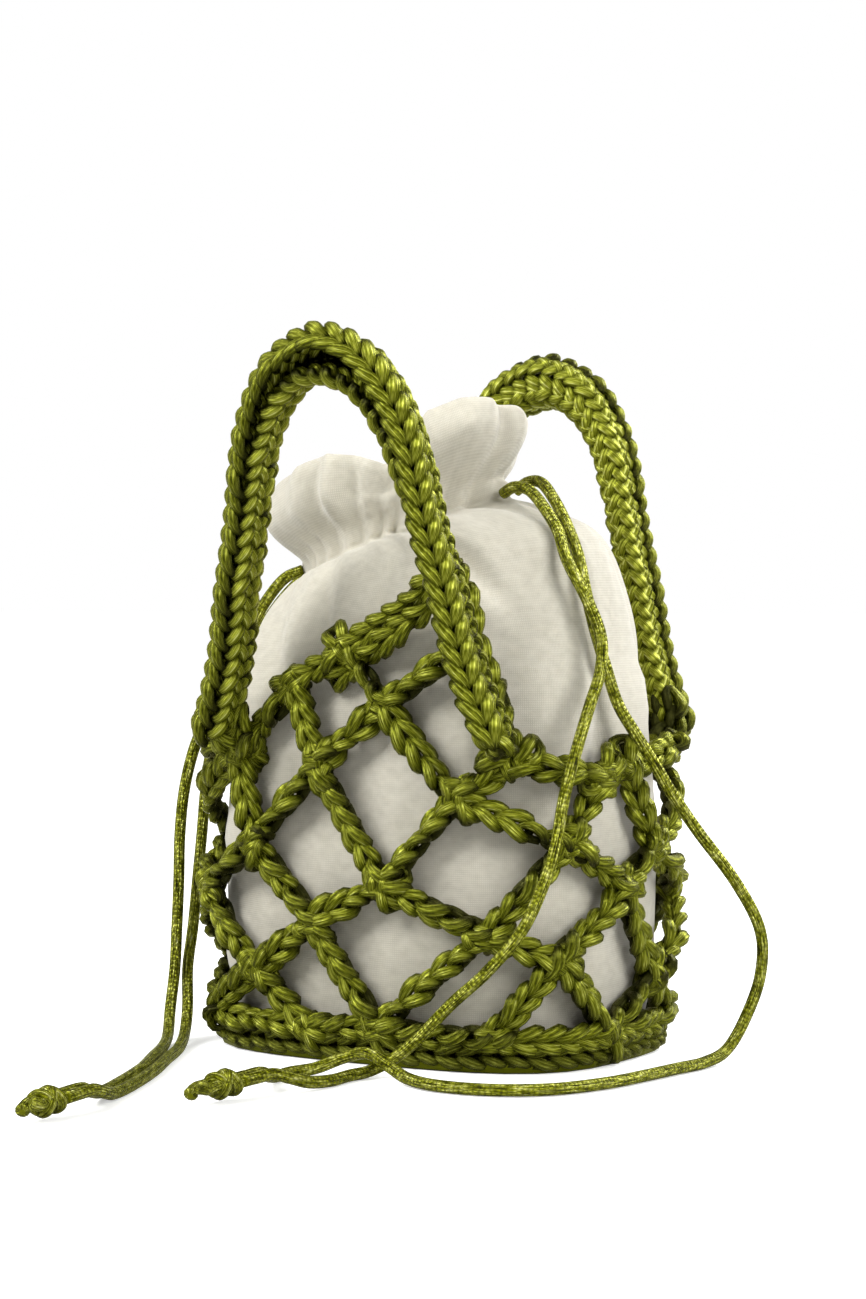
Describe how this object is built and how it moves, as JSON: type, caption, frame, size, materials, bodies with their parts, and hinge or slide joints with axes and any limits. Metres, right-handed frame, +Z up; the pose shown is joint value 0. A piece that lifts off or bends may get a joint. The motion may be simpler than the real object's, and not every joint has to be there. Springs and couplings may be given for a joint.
{
  "type": "mesh bag",
  "caption": "Small crocheted net bag of green satin cord with two folded arch handles, worn round a linen drawstring pouch with a gathered neck.",
  "frame": {"origin": "middle of the crocheted base, on the surface that the bag stands on", "axes": "+Z up, X along the long faces, -Y out of the face that the drawstring ends lie in front of"},
  "size_m": [0.206, 0.284, 0.2411],
  "materials": {
    "base_crochet": "satin cord, crocheted in close rounds",
    "net_crochet": "satin cord, crocheted as an open net",
    "handle_front_crochet": "satin cord, crocheted and folded",
    "handle_back_crochet": "satin cord, crocheted and folded",
    "pouch_linen": "unbleached plain weave linen, matt",
    "drawstring_right_front_satin": "glossy satin cord",
    "drawstring_right_loop_satin": "glossy satin cord",
    "drawstring_left_front_satin": "glossy satin cord",
    "drawstring_left_back_satin": "glossy satin cord",
    "knot_right_satin": "glossy satin cord, knotted",
    "knot_left_satin": "glossy satin cord, knotted"
  },
  "bodies": {
    "root": {"net_base": "base_crochet", "net_body": "net_crochet", "handle_front": "handle_front_crochet", "handle_back": "handle_back_crochet", "pouch": "pouch_linen", "drawstring_right_front": "drawstring_right_front_satin", "drawstring_right_loop": "drawstring_right_loop_satin", "drawstring_left_front": "drawstring_left_front_satin", "drawstring_left_back": "drawstring_left_back_satin", "knot_right": "knot_right_satin", "knot_left": "knot_left_satin"}
  },
  "joints": []
}
